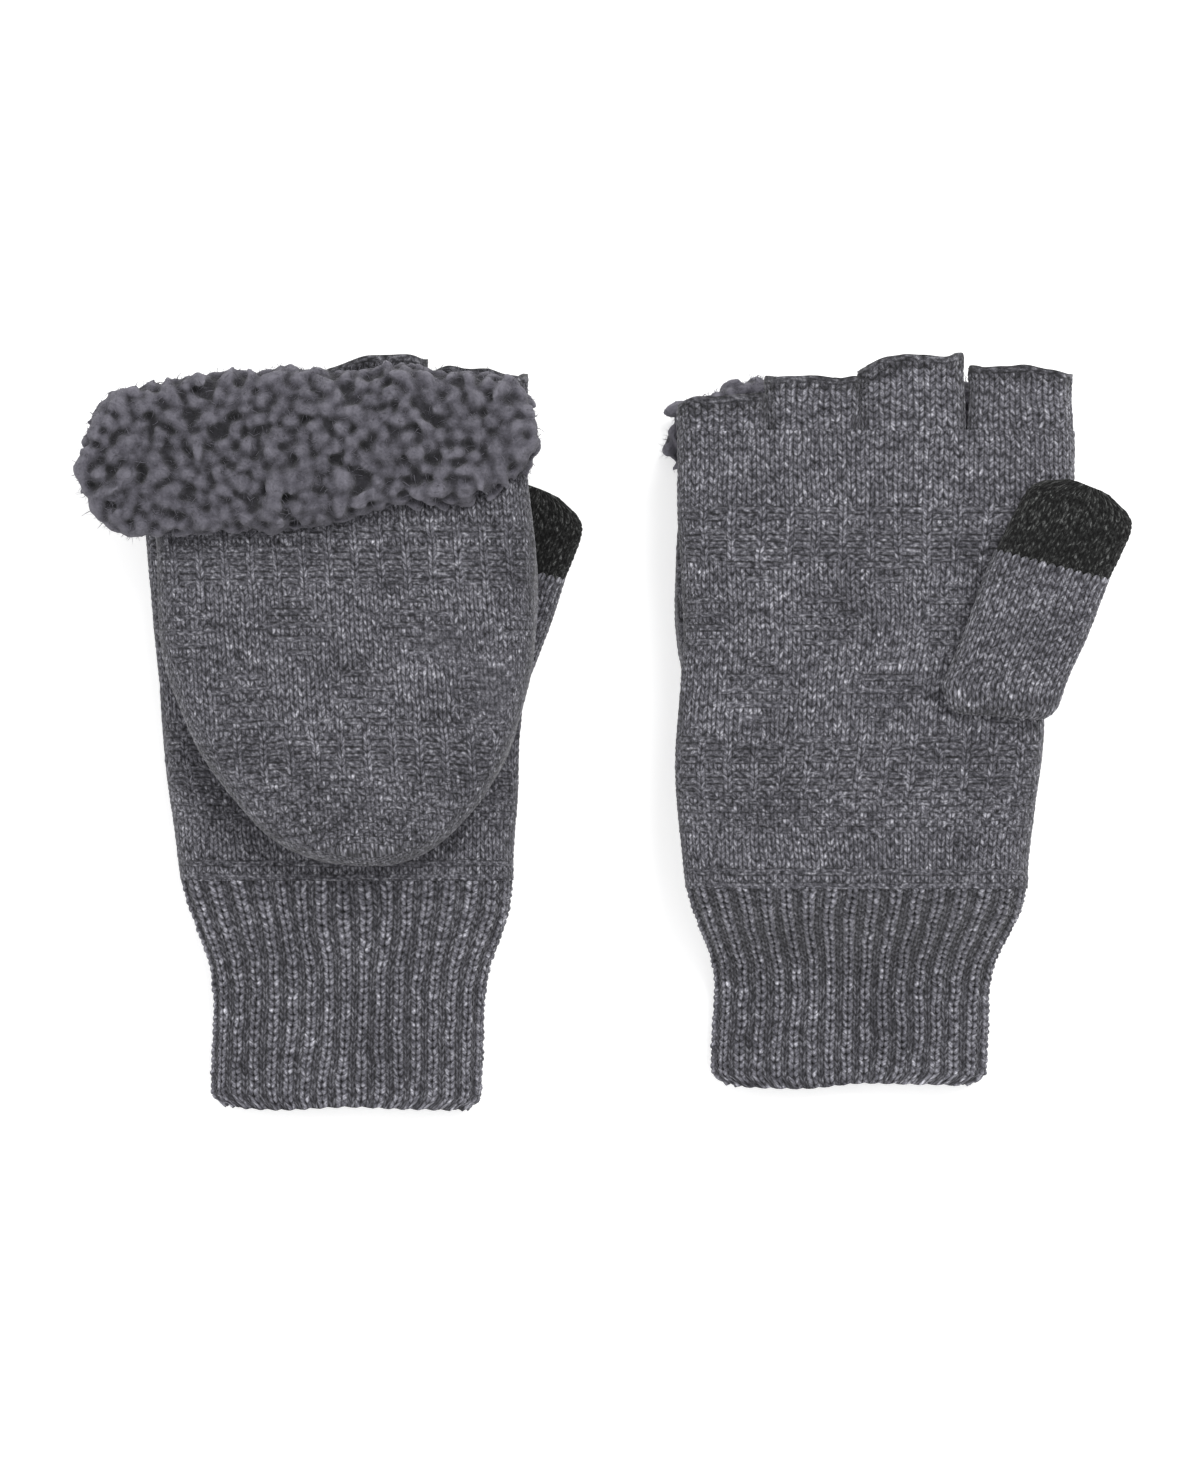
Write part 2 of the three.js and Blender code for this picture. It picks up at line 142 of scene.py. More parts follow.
class Finish:
    """A material for one kind of yarn or pile, with its nodes."""

    def __init__(self, name):
        self.material = bpy.data.materials.new(name)
        self.material.use_nodes = True
        self.tree = self.material.node_tree
        self.shader = self.tree.nodes["Principled BSDF"]

    def add(self, kind, values=(), output=0, **settings):
        node = self.tree.nodes.new(kind)
        for key, value in settings.items():
            setattr(node, key, value)
        items = values.items() if isinstance(values, dict) else enumerate(values)
        for key, value in items:
            self.put(value, node.inputs[key])
        return Socket(self, node.outputs[output])

    def put(self, value, socket):
        if isinstance(value, Socket):
            self.tree.links.new(value.out, socket)
        else:
            socket.default_value = value

    def stretched(self, place, scale):
        """`place` stretched along its axes, for grain that runs one way."""
        return self.add("ShaderNodeMapping", {"Vector": place, "Scale": scale})

    def noise(self, place, scale, detail=2.0, roughness=0.5, swirl=0.0):
        values = {"Vector": place, "Scale": scale, "Detail": detail}
        values |= {"Roughness": roughness, "Distortion": swirl}
        return self.add("ShaderNodeTexNoise", values)

    def ramp(self, value, stops):
        """A colour from stops of (position, (r, g, b))."""
        node = self.tree.nodes.new("ShaderNodeValToRGB")
        elements = node.color_ramp.elements
        while len(elements) < len(stops):
            elements.new(0.5)
        for element, (position, colour) in zip(elements, stops):
            element.position = position
            element.color = (*colour, 1)
        self.put(value, node.inputs["Fac"])
        return Socket(self, node.outputs["Color"])

    def multiplied(self, colour, factor):
        """A colour made darker or lighter by a number that varies."""
        values = {0: colour, "Scale": factor}
        return self.add("ShaderNodeVectorMath", values, operation="SCALE")

    def surface(self, colour, bump, roughness, specular, sheen, sheen_roughness):
        """Puts the colour and the bump on the surface, with its plain values."""
        inputs = self.shader.inputs
        self.put(colour, inputs["Base Color"])
        inputs["Roughness"].default_value = roughness
        inputs["Specular IOR Level"].default_value = specular
        inputs["Sheen Weight"].default_value = sheen
        inputs["Sheen Roughness"].default_value = sheen_roughness
        self.put(self.add("ShaderNodeBump", bump), inputs["Normal"])
        return self.material


def yarn(name, tones, fuzz, contrast):
    """Knitting yarn: dark and light fibres twisted together, which show as streaks along each leg of a
    stitch and across where the fabric shows its back. The UV map counts wales and courses, `depth` is 1 on
    top of the stitches, and `back` is 1 where the back shows. The colour is painted darker where `depth`
    and the stitch's shape are low: painted shade in the grooves between legs, stitches and ribs."""
    finish = Finish(name)
    stitches = finish.add("ShaderNodeUVMap")
    depth = finish.add("ShaderNodeAttribute", output=2, attribute_name="depth")
    back = finish.add("ShaderNodeAttribute", output=2, attribute_name="back")
    wale = finish.add("ShaderNodeSeparateXYZ", [stitches], output=0)
    course = finish.add("ShaderNodeSeparateXYZ", [stitches], output=1)
    lean = (wale.fraction() > 0.5) * 2 - 1
    across = (wale.fraction() - 0.5).size()
    leg = 1 - (across - 0.25).size() * 4
    turn = 1 - ((course + across * 1.2).fraction() - 0.5).size() * 2
    front_shape = (leg * 1.7 + 0.15).clamp() * (turn * 2.0 + 0.2).clamp()
    back_shape = ((1 - (course.fraction() - 0.5).size() * 2) * 1.9 + 0.1).clamp()
    shape = front_shape * (1 - back) + back_shape * back
    slanted = finish.add("ShaderNodeCombineXYZ", [wale * 2.7 + lean * course * 0.9, course * 0.95])
    legs = finish.noise(slanted, 1.0, 3.0, 0.6)
    heads = finish.noise(finish.stretched(stitches, (2.1, 2.5, 1)), 1.0, 3.0, 0.6)
    streaks = legs * (1 - back) + heads * back
    flecks = finish.noise(finish.stretched(stitches, (1.3, 0.9, 1)), 1.0, 2.0, 0.6)
    fibres = finish.noise(finish.stretched(stitches, (12, 7, 1)), 1.0, 2.0, 0.6)
    clouds = finish.noise(finish.stretched(stitches, (0.12, 0.14, 1)), 1.0, 1.0)
    marl = streaks * 0.5 + flecks * 0.3 + fibres * 0.2
    marl = (marl - 0.5) * contrast + 0.5 + (clouds - 0.5) * 0.2
    colour = finish.ramp(marl, tones)
    # painted shade: darker in the grooves between stitches and legs, from the stitch height and shape
    shade = (depth + 0.3).clamp() * (shape * 0.88 + 0.26)
    colour = finish.multiplied(colour, shade)
    bump = {"Height": shape * 0.5 + streaks * 0.5, "Strength": 0.8, "Distance": 0.4 * MM}
    return finish.surface(colour, bump, 0.92, specular=0.2, sheen=fuzz, sheen_roughness=0.6)


def toned(tones, factor):
    """The same tones, all darker or lighter by a factor."""
    return [(stop, tuple(factor * part for part in tone)) for stop, tone in tones]


GREY = [
    (0.24, (0.013, 0.013, 0.016)),
    (0.42, (0.061, 0.060, 0.071)),
    (0.54, (0.122, 0.120, 0.138)),
    (0.66, (0.235, 0.233, 0.262)),
    (0.80, (0.480, 0.477, 0.520)),
]
DARK = [
    (0.24, (0.0015, 0.0015, 0.0015)),
    (0.46, (0.0075, 0.0077, 0.0075)),
    (0.62, (0.029, 0.030, 0.029)),
    (0.80, (0.130, 0.132, 0.130)),
]
heather_knit = yarn("heather_knit", GREY, fuzz=0.15, contrast=2.1)
touch_knit = yarn("touch_knit", DARK, fuzz=0.05, contrast=2.6)


def sherpa(name):
    """Sherpa fleece: soft tufts of crimped fibre, all one flat purple-grey, with painted shade that darkens
    the clefts.
    """
    finish = Finish(name)
    place = finish.add("ShaderNodeTexCoord", output="Object")
    depth = finish.add("ShaderNodeAttribute", output=2, attribute_name="depth")
    crimp = finish.noise(place, 1500.0, 3.0, 0.65)
    curls = finish.noise(place, 300.0, 4.0, 0.65, 2.6)
    # painted shade: `depth`, low in the clefts between tufts, darkens the colour there
    colour = finish.ramp(depth * 0.95 + crimp * 0.3 + curls * 0.45 - 0.44, FLEECE_GREY)
    bump = {"Height": crimp * 0.4 + curls * 0.6, "Strength": 0.85, "Distance": 1.0 * MM}
    return finish.surface(colour, bump, 1.0, specular=0.05, sheen=0.12, sheen_roughness=0.7)


FLEECE_GREY = [
    (0.08, (0.003, 0.003, 0.004)),
    (0.35, (0.021, 0.020, 0.025)),
    (0.60, (0.068, 0.065, 0.080)),
    (0.95, (0.165, 0.159, 0.188)),
]
fleece_pile = sherpa("fleece_pile")

paper = Finish("table_white")
paper.shader.inputs["Base Color"].default_value = (0.93, 0.93, 0.93, 1)
paper.shader.inputs["Roughness"].default_value = 0.9
paper.shader.inputs["Emission Color"].default_value = (1, 1, 1, 1)
paper.shader.inputs["Emission Strength"].default_value = 0.33
table.data.materials.append(paper.material)


# ------------------------------------------------------------------ the knitted hands
# Each hand is one flattened tube of patterned knit. Its outline follows the CAD solid, cut into sections;
# the stitches are raised on it one by one, knit Vs and purl bumps, as the pattern places them.
WALE = 2.5 * MM
COURSE = 2.0 * MM
WALL = 1.5 * MM  # of a knitted tube
RELIEF = 0.6 * MM  # height of a plain stitch
PURL_RISE = 0.3  # how much higher the back of a stitch stands, as a share of that
RING = 160  # points round one section
OVERLAP = 0.45 * MM  # how far pieces of one cloth reach into each other
lattice = np.random.default_rng(20).random((64, 64))


def eased(share):
    """A share from 0 to 1 that starts and ends gently."""
    return share * share * (3 - 2 * share)


def drift(a, b, period, seed):
    """Smooth noise from 0 to 1 over the plane, with bumps about `period` apart."""
    a, b = a / period + 7.3 * seed, b / period + 3.1 * seed
    i, j = np.floor(a).astype(int), np.floor(b).astype(int)
    s, t = eased(a - i), eased(b - j)
    i, j, onward, upward = i % 64, j % 64, (i + 1) % 64, (j + 1) % 64
    low = lattice[i, j] * (1 - s) + lattice[onward, j] * s
    high = lattice[i, upward] * (1 - s) + lattice[onward, upward] * s
    return low * (1 - t) + high * t


def curve_through(points, where, closed):
    """Points on the smooth curve through `points`, along the first axis, at fractional indices `where`."""
    count = len(points)
    base = np.floor(where).astype(int)
    part = (where - base).reshape(-1, *[1] * (points.ndim - 1))
    near = [base + step for step in (-1, 0, 1, 2)]
    a, b, c, d = (points[k % count if closed else np.clip(k, 0, count - 1)] for k in near)
    return b + 0.5 * part * (c - a + part * (2 * a - 5 * b + 4 * c - d + part * (3 * (b - c) + d - a)))


def numbers(items, key, kind=float, width=3):
    """One value of every vertex, edge or face of a mesh, a row for each."""
    values = np.zeros(len(items) * width, kind)
    items.foreach_get(key, values)
    return values.reshape(-1, width)


def cut(node, at, normal):
    """Where a plane cuts a CAD node: each point of the cut, with the one or two points it is joined to."""
    mesh = frame["nodes"][node].data
    corners = numbers(mesh.vertices, "co")
    faces = numbers(mesh.polygons, "vertices", int)
    side = (corners - at) @ normal
    below = (side[faces] < 0).sum(axis=1)
    links = {}
    for face in faces[(below > 0) & (below < 3)]:
        ends = []
        for m, n in ((0, 1), (1, 2), (2, 0)):
            low, high = sorted((face[m], face[n]), key=lambda k: side[k])
            if side[low] < 0 <= side[high]:
                share = -side[low] / (side[high] - side[low])
                ends.append(tuple(np.round(corners[low] + share * (corners[high] - corners[low]), 6)))
        if len(ends) == 2 and ends[0] != ends[1]:
            links.setdefault(ends[0], []).append(ends[1])
            links.setdefault(ends[1], []).append(ends[0])
    return links


def section(node, at, normal, across):
    """The outer edge of a CAD node where a plane cuts it: RING points that start half-way up the side where
    `across` is lowest, run over the top and come back underneath."""
    links = cut(node, np.array(at), normal)
    loops = []
    while links:
        loop = [next(iter(links))]
        while True:
            onward = [p for p in links.pop(loop[-1]) if p in links]
            if not onward:
                break
            loop.append(onward[0])
        loops.append(np.array(loop))
    edge = max(loops, key=lambda loop: np.ptp(loop @ across))
    reach, height = edge @ across, edge[:, 2]
    if np.sum(reach * np.roll(height, -1) - np.roll(reach, -1) * height) > 0:
        edge = edge[::-1]
    edge = np.roll(edge, -np.argmax(edge[:, 2]), axis=0)
    edge = np.vstack([edge, edge[:1]])
    run = np.concatenate([[0], np.cumsum(np.linalg.norm(np.diff(edge, axis=0), axis=1))])
    count = 10 * RING
    even = np.arange(count) / count * run[-1]
    dense = np.stack([np.interp(even, run, edge[:, k]) for k in range(3)], axis=1)
    reach = dense @ across
    high = np.flatnonzero(reach > reach.max() - 0.05 * MM).mean()
    low = np.flatnonzero(reach < reach.min() + 0.05 * MM).mean()
    over = np.linspace(low, count + high, RING // 2, endpoint=False)
    under = np.linspace(high, low, RING // 2, endpoint=False)
    return curve_through(dense, np.concatenate([over, under]), closed=True)


def softened(rings, around=5, along=2):
    """Rings with their corners rounded as cloth rounds them."""
    for _ in range(around):
        rings = (np.roll(rings, 1, axis=1) + 2 * rings + np.roll(rings, -1, axis=1)) / 4
    for _ in range(along):
        rings[1:-1] = (rings[:-2] + 2 * rings[1:-1] + rings[2:]) / 4
    return rings


def outward(grid, closed=True):
    """Unit normals of a grid of points whose columns run clockwise round the piece."""
    down = np.gradient(grid, axis=0)
    if closed:
        round_ = np.roll(grid, -1, axis=1) - np.roll(grid, 1, axis=1)
    else:
        round_ = np.gradient(grid, axis=1)
    normal = np.cross(down, round_)
    return normal / np.maximum(np.linalg.norm(normal, axis=2, keepdims=True), 1e-12)


def grain(a, b, centre, tilt, length, width):
    """A rounded grain on the unit cell, as high as 1: one leg or head of a stitch."""
    da, db = a - centre[0], b - centre[1]
    run = db * math.cos(tilt) - da * math.sin(tilt)
    side = da * math.cos(tilt) + db * math.sin(tilt)
    return np.sqrt(np.clip(1 - (run / length) ** 2 - (side / width) ** 2, 0, 1))


def stitched(u, v, purl):
    """Height of the fabric, 0 to 1, at u wales and v courses, how far its back shows there, and u and v as
    the uneven stitches lie. `purl` says how each shows: 0 its front, 1 its back, 2 its back drawn in
    between ribs."""
    u = u + 0.2 * (drift(u, v, 2.3, 1) - 0.5)
    v = v + 0.36 * (drift(u, v, 1.7, 2) - 0.5)
    wale, course = np.floor(u).astype(int), np.floor(v).astype(int)
    a, b = u - wale, v - course
    legs = np.zeros_like(u)
    heads = np.zeros_like(u)
    for step in (-1, 0, 1):
        for mirror in (1, -1):
            leg = grain(a, b, (0.5 - mirror * 0.245, 0.5 + step), mirror * 0.3, 0.72, 0.235)
            legs = np.maximum(legs, leg)
        for shift in (0, 1):
            heads = np.maximum(heads, grain(a, b, (shift, 0.78 + step), 0, 0.3, 0.46))
        heads = np.maximum(heads, 0.9 * grain(a, b, (0.5, 0.28 + step), 0, 0.3, 0.5))
    back = purl(wale, course)
    size = 0.72 + 0.28 * lattice[wale % 64, course % 64]
    height = np.choose(back, [legs, heads * 0.62, heads * 0.32]) * size
    return height, (back == 1).astype(float), np.stack([u, v], axis=-1)


FLOOR = np.array([-math.inf, -math.inf, 0.05 * MM])  # nothing reaches into the table
PLAIN = 0.4  # depth of the faces inside, which carry no stitches


def skin(name, grid, material, ends=(), uv=None, period=0, **marks):
    """A closed mesh from a grid whose columns close on themselves, with `period` between the first column's
    u and its next turn. Rows close on each other too, unless the two points in `ends` close the first row
    and the last. `marks` are numbers kept at each point."""
    count, across = grid.shape[:2]
    points = np.maximum(grid.reshape(-1, 3), FLOOR)
    row = np.arange(count - 1 if len(ends) else count)[:, None]
    column = np.arange(across)[None, :]
    below, beside = (row + 1) % count, (column + 1) % across
    around = [(row, column), (below, column), (below, beside), (row, beside)]
    quads = [np.broadcast_to(m * across + n, (len(row), across)) for m, n in around]
    faces = np.stack(quads, axis=-1).reshape(-1, 4).tolist()
    uv = np.zeros((count, across, 2)) if uv is None else uv
    turn = np.array([period, 0.0]) * (column == across - 1)[..., None]
    corners = [uv[m, n] + turn * (n is beside) for m, n in around]
    corners = [np.stack(np.broadcast_arrays(*corners), axis=2).reshape(-1, 2)]
    if len(ends):
        points = np.vstack([points, ends])
        onward = np.roll(column[0], -1)
        tail = (count - 1) * across
        faces += [[int(m), int(n), count * across] for m, n in zip(column[0], onward)]
        faces += [[int(tail + n), int(tail + m), count * across + 1] for m, n in zip(column[0], onward)]
        corners += [np.repeat(uv[0], 3, axis=0), np.repeat(uv[-1], 3, axis=0)]
    mesh = bpy.data.meshes.new(name)
    mesh.from_pydata(points.tolist(), [], faces)
    corners = np.concatenate(corners).astype(np.float32)
    mesh.uv_layers.new(name="stitches").data.foreach_set("uv", corners.ravel())
    for mark, values in marks.items():
        tips = [values[0].mean(), values[-1].mean()] if len(ends) else []
        values = np.concatenate([values.reshape(-1), tips]).astype(np.float32)
        mesh.attributes.new(mark, "FLOAT", "POINT").data.foreach_set("value", values)
    mesh.polygons.foreach_set("use_smooth", np.ones(len(mesh.polygons), bool))
    mesh.materials.append(material)
    mesh.update()
    piece = bpy.data.objects.new(name, mesh)
    bpy.context.collection.objects.link(piece)
    return piece


def waves(a, b):
    """Waves two and five centimetres long."""
    return (drift(a, b, 17 * MM, 3) - 0.5) * 1.5 * MM + (drift(a, b, 46 * MM, 4) - 0.5) * 2.6 * MM


def slack(points, normal):
    """How far the cloth lies off its true shape, from lying loose. Neighbours move sideways together."""
    x, y, z = points[..., 0], points[..., 1], points[..., 2]
    loose = waves(x + z, y - z)
    return np.stack([waves(x, y), 0.2 * loose * normal[..., 1], 0.45 * loose * normal[..., 2]], axis=-1)


def knitted_tube(name, rings, wales, rows, purl, material, wall=WALL, fine=(5, 2), relief=RELIEF, shift=0,
                 lift=None, teeth=0, hem=0, gather=None):
    """A tube knitted round: the outside carries every stitch, the inside is a plain face `wall` further in,
    unless it is 0 and the piece solid. `wales` are counted across one side; `fine` says how many columns a
    wale has above and below. The loops of its first course reach `teeth` into its neighbour, its last ribs
    end `hem` lower, and `gather` makes some wales wider than others."""
    for end, beyond in ((-1, -2), (0, 1)):
        onward = (rings[end] - rings[beyond]).mean(axis=0)
        onward /= np.linalg.norm(onward)
        rings[end] += onward * OVERLAP
    above = np.arange(wales * fine[0]) / fine[0] / wales
    below = 1 + np.arange(wales * fine[1]) / fine[1] / wales
    q = np.concatenate([above, below])
    base = curve_through(rings, np.linspace(0, len(rings) - 1, rows), closed=False)
    outer = curve_through(base.transpose(1, 0, 2), q * RING / 2, closed=True).transpose(1, 0, 2)
    normal = outward(outer)
    run = np.concatenate([[0], np.cumsum(np.linalg.norm(np.diff(outer.mean(axis=1), axis=0), axis=1))])
    v = np.broadcast_to((run / COURSE)[:, None], outer.shape[:2])
    u = np.broadcast_to(q * wales + shift, outer.shape[:2])
    height, back, uv = stitched(gather(u) if gather else u, v, purl)
    lie = slack(outer, normal)
    if lift:
        lie = lie + normal * lift(u, v)[..., None] * np.array([0.3, 1, 1])
    surface = outer + normal * ((height - 1 + PURL_RISE * back)[..., None] * relief) + lie
    reach = teeth * np.abs(np.sin(math.pi * u)) * np.clip(1 - v, 0, 1)
    reach = reach - hem * np.abs(np.cos(math.pi / 2 * u)) * np.clip(v - v.max() + 1, 0, 1)
    surface = surface + onward * reach[..., None]
    if not wall:
        ends = [outer[0].mean(axis=0), outer[-1].mean(axis=0)]
        return skin(name, surface, material, ends, uv, 2 * wales, depth=height, back=back)
    every = np.linspace(0, rows - 1, 9).astype(int)[::-1]
    inner = outer[every] + lie[every] - normal[every] * wall
    order = np.concatenate([np.arange(rows), every])
    depth = np.concatenate([height, np.full(inner.shape[:2], PLAIN)])
    whole = np.concatenate([surface, inner])
    return skin(name, whole, material, uv=uv[order], period=2 * wales, depth=depth, back=back[order])


def banded(wale, course, centre, bands):
    """A pattern in bands down the piece, each from one course to another; `centre` places the diamonds."""
    leaning = np.abs((wale + centre[0]) % 14 - 7) + 0.7 * np.abs((course + centre[1]) % 20 - 10)
    kinds = {
        "ribs": (wale % 3 != 1) & (course % 7 != 6),
        "diamonds": ((leaning < 4.2) & (course % 2 == 0)) | ((leaning > 9.5) & (course % 2 == 1)),
        "moss": (wale + course) % 2,
        "ridges": course % 2,
    }
    back = np.zeros(wale.shape, int)
    for first, last, kind in bands:
        back = np.where((course >= first) & (course < last), kinds[kind], back)
    return back


def hand_pattern(wale, course):
    """The hand's pattern, counted from the fingers."""
    bands = [(11, 19, "ribs"), (19, 45, "diamonds"), (45, 52, "ribs"), (52, 58, "moss"), (62, 66, "ridges")]
    return banded(wale, course, (4, 3), bands)


FINGER_WALES = {"pinky": 10, "ring": 11, "middle": 12, "index": 12}
HAND_WALES = sum(FINGER_WALES.values())
HAND_ROWS = 264
SLOT_MARGIN = 1 * MM  # sections are left out this far beyond the opening for the thumb
X = np.array([1.0, 0.0, 0.0])
Y = np.array([0.0, 1.0, 0.0])


def level_sections(node, gap=0.12 * MM, step=4 * MM, without=None):
    """Sections of a CAD node from its finger end down, some millimetres apart, `without` a stretch of y."""
    low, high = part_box(node)
    count = max(4, round((high.y - low.y) / step))
    heights = np.linspace(high.y - gap, low.y + gap, count)
    if without:
        heights = heights[(heights < without[0]) | (heights > without[1])]
    return np.array([section(node, (0, y, 0), Y, X) for y in heights])


def stands_for(piece, body, *nodes, slot="heather_knit"):
    """The piece rides on a body and takes the place of its CAD nodes."""
    if body:
        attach(piece, body)
    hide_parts(*nodes)


for side in ("left", "right"):
    low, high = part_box(f"{side}_thumb_gusset")
    rings = level_sections(f"{side}_hand", without=(low.y - SLOT_MARGIN, high.y + SLOT_MARGIN))
    rings = softened(rings)
    piece = knitted_tube(f"{side}_hand_knit", rings, HAND_WALES, HAND_ROWS, hand_pattern, heather_knit)
    stands_for(piece, f"{side}_hand", f"{side}_hand")


# ------------------------------------------------------------------ cuffs
# Long cuffs of 1x1 rib, knitted on from the wrist: the knit wales stand up and draw the purl wales in.
CUFF_WALES = 34
CUFF_ROWS = 150
CUFF_WALL = 2 * MM
CUFF_RELIEF = 1.5 * MM
CUFF_CORNER = 5 * MM
CUFF_HEM = 0.5 * MM
KNIT_SHARE = 0.64  # of the width of a pair of wales
SWAY = 2.2 * MM  # how unevenly the open end lies
SWAY_REACH = 12 * MM
rib_yarn = yarn("rib_knit", toned(GREY, 1.27), fuzz=0.15, contrast=1.9)


def rib_pattern(wale, course):
    return 2 * (wale % 2)


def corner_cut(radius, distance):
    """How far a corner of that radius stands in, at a distance from its end."""
    left = np.clip(radius - distance, 0, radius)
    return radius - math.sqrt(radius ** 2 - left ** 2)


def narrowed(ring, by):
    """A ring made narrower by the same amount at both sides."""
    reach = ring[:, :2] - ring[:, :2].mean(axis=0)
    half = np.linalg.norm(reach, axis=1).max()
    return np.column_stack([ring[:, :2] - reach * by / half, ring[:, 2]])


def gathered(u):
    """Each knit wale takes most of the room of its pair."""
    pair = np.floor(u / 2)
    share = u / 2 - pair
    purl_share = (share - KNIT_SHARE) / (1 - KNIT_SHARE)
    return 2 * pair + np.where(share < KNIT_SHARE, share / KNIT_SHARE, 1 + purl_share)


def rib_level(u, v):
    """The ribs stand as high as the plain knit of the hand."""
    return np.full(u.shape, 0.3 * MM)


for side in ("left", "right"):
    rings = softened(level_sections(f"{side}_cuff", step=2 * MM))
    hem = rings[-1, :, 1].mean()
    for k, ring in enumerate(rings):
        distance = ring[:, 1].mean() - hem
        rings[k] = narrowed(ring, corner_cut(CUFF_CORNER, distance))
        sway = (drift(ring[:, 0], ring[:, 2], 19 * MM, 13) - 0.5) * SWAY
        rings[k, :, 1] += sway * max(0, 1 - distance / SWAY_REACH)
    piece = knitted_tube(
        f"{side}_cuff_knit", rings, CUFF_WALES, CUFF_ROWS, rib_pattern, rib_yarn, wall=CUFF_WALL,
        fine=(7, 4), relief=CUFF_RELIEF, lift=rib_level, hem=CUFF_HEM, gather=gathered
    )
    stands_for(piece, f"{side}_hand", f"{side}_cuff")


# ------------------------------------------------------------------ finger stubs
# Four short tubes in plain knit, side by side; only the middle and index fingers show a slit between them.
# Their ends are bound off in a darker yarn, which curls outwards and lies at its own slope on each finger.
bound_yarn = yarn("bound_yarn", toned(GREY, 0.66), fuzz=0.15, contrast=2.4)
STUB_ROW = 0.5 * MM
BOUND = 4.0 * MM  # height of the curled edge
CURL_PLACE = 1.7 * MM  # of the thickest part of that edge, down from its end
CURL_WIDTH = 1.5 * MM
TOP_SLOPE = {"pinky": 0.4 * MM, "ring": -2.2 * MM, "middle": 0.6 * MM, "index": -2.8 * MM}
LOW_CORNER = {"pinky": 1.5 * MM, "ring": 1.5 * MM, "middle": 5 * MM, "index": 0.5 * MM}  # at its left
CORNER_REACH = 0.45  # of the stub's width
CLOSED_UP = {"pinky": (0, 1.5), "ring": (1.5, 1.5), "middle": (1.5, 1.1), "index": (1.1, 0)}  # mm a side
SLIT = {"middle": (0, 1.1), "index": (1.1, 0)}  # mm a side at the top, which leaves it open there


def plain(wale, course):
    """Plain knit under a first course that shows its back."""
    return (course < 1).astype(int)


def curl(u, v):
    """The stub lies flush with the hand. Its bound edge rolls outwards, more in some places than others."""
    edge = np.exp(-(((v * COURSE - CURL_PLACE) / CURL_WIDTH) ** 2))
    return 0.3 * MM + (0.4 + 0.7 * drift(u, v, 2.6, 11)) * MM * edge


def edge_line(finger, share):
    """How much higher the end stands at a share of the stub's width, counted from its left."""
    corner = LOW_CORNER[finger] * np.maximum(1 - share / CORNER_REACH, 0) ** 1.5
    return (share - 0.5) * TOP_SLOPE[finger] - corner


for side in ("left", "right"):
    shift = 0
    for finger, wales in FINGER_WALES.items():
        node = f"{side}_{finger}_stub"
        rings = softened(level_sections(node, step=2 * MM), around=2)
        low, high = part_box(node)
        share = (rings[..., 0] - low.x) / (high.x - low.x)
        height = (rings[..., 1] - low.y) / (high.y - low.y)
        near, far = CLOSED_UP[finger]
        left, right = SLIT.get(finger, (0, 0))
        near, far = near - left * height ** 0.7, far - right * height ** 0.7
        rings[..., 0] += (share * far - (1 - share) * near) * MM
        wave = (drift(rings[..., 0], rings[..., 2], 6 * MM, 12) - 0.5) * 2.4 * MM
        rings[..., 1] += (edge_line(finger, share) + wave) * height ** 2
        rows = round((high.y - low.y) / STUB_ROW)
        piece = knitted_tube(
            f"{node}_knit", rings, wales, rows, plain, heather_knit, shift=shift, lift=curl
        )
        piece.data.materials.append(bound_yarn)
        for face in piece.data.polygons:
            across = (face.center.x - low.x) / (high.x - low.x)
            face.material_index = int(face.center.y > high.y + edge_line(finger, across) - BOUND)
        stands_for(piece, f"{side}_hand", node)
        shift += wales


# ------------------------------------------------------------------ thumbs
# A knitted tube that comes out of the palm, folds over and lies on it, leaning outwards. Gusset and thumb
# are one piece of cloth, folded as it rests; the tube stays in place when the thumb lifts. The end is in dark
# touch-screen yarn.
THUMB_WALES = 15
THUMB_ROWS = 124
THUMB_LENGTH = 63 * MM
THUMB_LEAN = math.radians(21.6)
FOLD_SLOPE = math.radians(4.5)
FOLD_CORNER = 3.2 * MM  # how much the tube draws in as it turns the fold
FOLD_TURNS = (15, 30, 45, 60, 75, 90)
SUNK = 1.2 * MM  # how far its lower end goes into the palm
TEETH = 1.1 * MM  # how far its last loops reach over the dark end
TIP_CORNER = 10 * MM
TIP_TAPER = 0.35
TUBE_SHARES = np.linspace(0.594, 0.012, 12)  # sections, as shares of the thumb's length
TIP_SHARES = np.concatenate([np.linspace(0.992, 0.86, 12), np.linspace(0.83, 0.614, 8)])
along = np.array([math.sin(THUMB_LEAN), math.cos(THUMB_LEAN), 0])


def turned(points, at, axis, angle):
    """Points turned about an axis by the right-hand rule."""
    local = points - at
    out = local * math.cos(angle) + np.cross(axis, local) * math.sin(angle)
    return at + out + np.outer(local @ axis, axis) * (1 - math.cos(angle))


def thumb_section(node, fold, share):
    slope = FOLD_SLOPE + (THUMB_LEAN - FOLD_SLOPE) * share
    rows = np.array([math.sin(slope), math.cos(slope), 0])
    across = np.array([math.cos(slope), -math.sin(slope), 0])
    return section(node, fold + along * share * THUMB_LENGTH, rows, across)


def front_only(wale, course):
    return 0 * wale


def sunk_in(u, v):
    """The dark end lies a little lower, so that the loops of the grey part lie on it."""
    return np.full(u.shape, -0.3 * MM)


